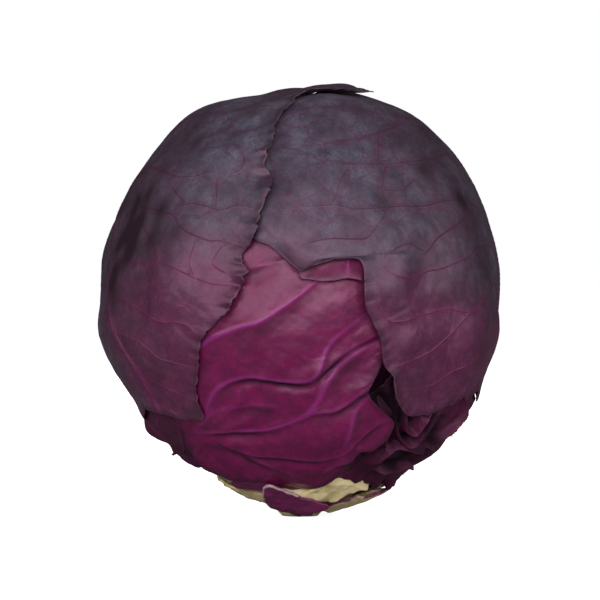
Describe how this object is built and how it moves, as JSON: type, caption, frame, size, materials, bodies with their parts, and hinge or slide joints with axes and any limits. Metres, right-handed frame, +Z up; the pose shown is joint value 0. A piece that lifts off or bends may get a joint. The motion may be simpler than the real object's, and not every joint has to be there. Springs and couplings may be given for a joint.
{
  "type": "red cabbage head",
  "caption": "Round purple-red cabbage head of overlapping veined leaves with crinkled, torn margins, standing on its trimmed cream stem",
  "frame": {"origin": "centre of the stem's flat cut face, which the head stands on", "axes": "+Z up through the crown of the head; -Y to the front, where the bright inner leaf shows between the two wrapper leaves; +X to the right seen from the front"},
  "size_m": [0.15, 0.148, 0.161],
  "materials": {
    "heart": "satin",
    "stem": "matte",
    "wrapper_leaf": "satin",
    "lower_leaf": "satin",
    "inner_leaf": "satin",
    "leaf_base": "satin"
  },
  "bodies": {
    "root": {"heart": "heart", "stem": "stem", "lower_left_leaf": "lower_leaf", "lower_right_leaf": "lower_leaf", "front_leaf": "inner_leaf", "tucked_leaf": "lower_leaf", "back_leaf": "wrapper_leaf", "right_wrapper_leaf": "wrapper_leaf", "left_wrapper_leaf": "wrapper_leaf", "leaf_base_1": "leaf_base", "leaf_base_2": "leaf_base", "leaf_base_3": "leaf_base", "leaf_base_4": "leaf_base", "leaf_base_5": "leaf_base", "leaf_base_6": "leaf_base", "leaf_base_7": "leaf_base", "leaf_base_8": "leaf_base"}
  },
  "joints": []
}
